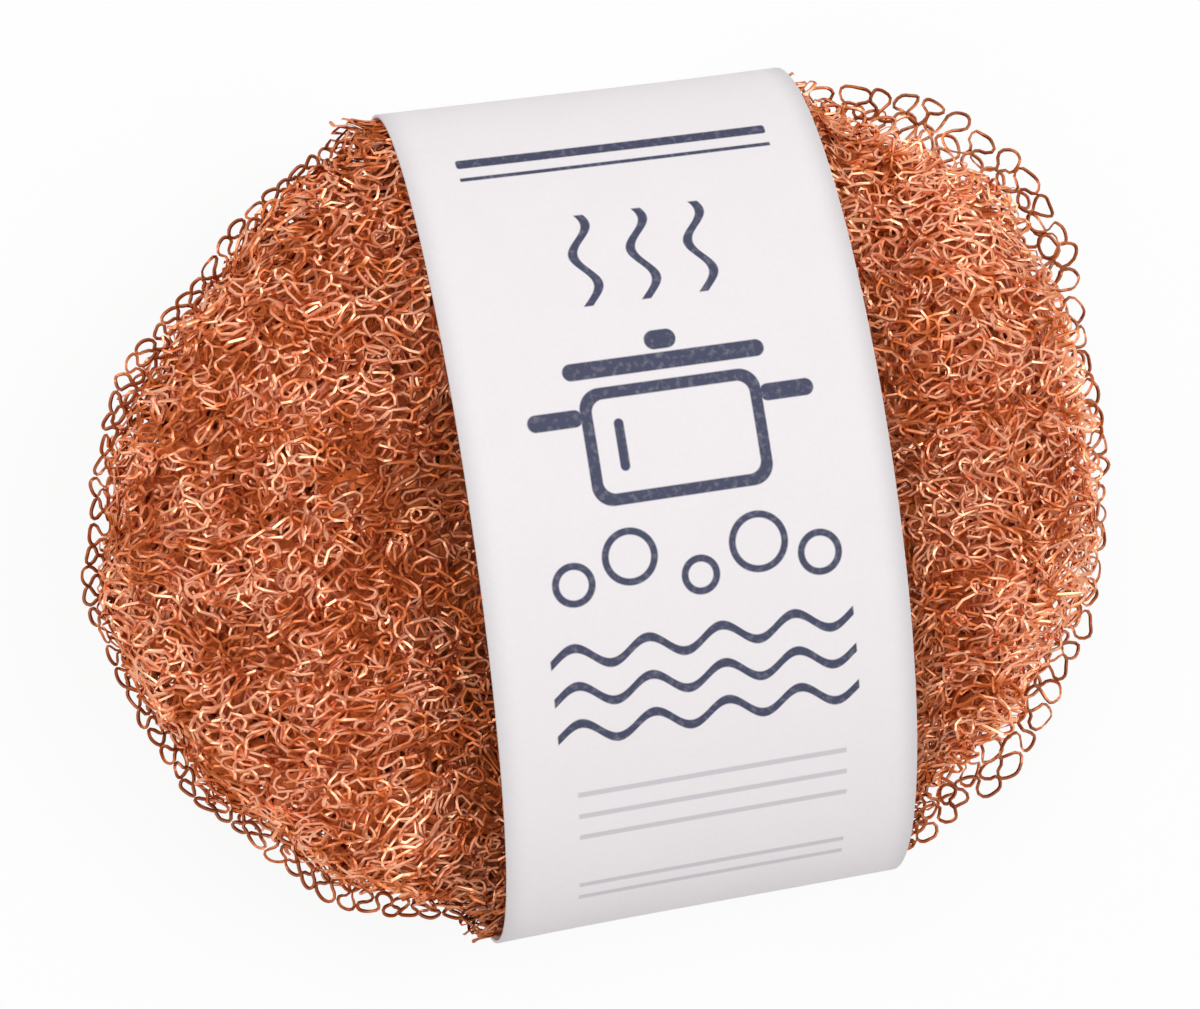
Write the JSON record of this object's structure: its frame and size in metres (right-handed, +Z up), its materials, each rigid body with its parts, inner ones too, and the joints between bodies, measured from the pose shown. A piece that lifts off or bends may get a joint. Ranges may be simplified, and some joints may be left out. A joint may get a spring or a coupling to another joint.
{
  "type": "pot scrubber",
  "caption": "Oval pot scrubber: a springy pad of knitted copper wire, turned over itself in layers, with a paper band glued round its waist that slides off before use.",
  "frame": {"origin": "on the table, under the middle of the pad's bounding box", "axes": "+X along the pad from its left to its right end, +Y across it along the top of the band's print, +Z up from the table"},
  "size_m": [0.1004, 0.0792, 0.0352],
  "materials": {
    "copper_knit": "satin",
    "paper": "matte",
    "glue": "satin"
  },
  "bodies": {
    "scrubber": {"outer_turn": "copper_knit", "second_turn": "copper_knit", "third_turn": "copper_knit", "fourth_turn": "copper_knit", "fifth_turn": "copper_knit", "core_roll": "copper_knit"},
    "band": {"paper_band": "paper", "glue_line": "glue"}
  },
  "joints": [
    {"name": "band_slide", "type": "slide", "parent": "scrubber", "child": "band", "axis": [1, 0, 0], "range_m": [-0.08, 0.075]}
  ]
}
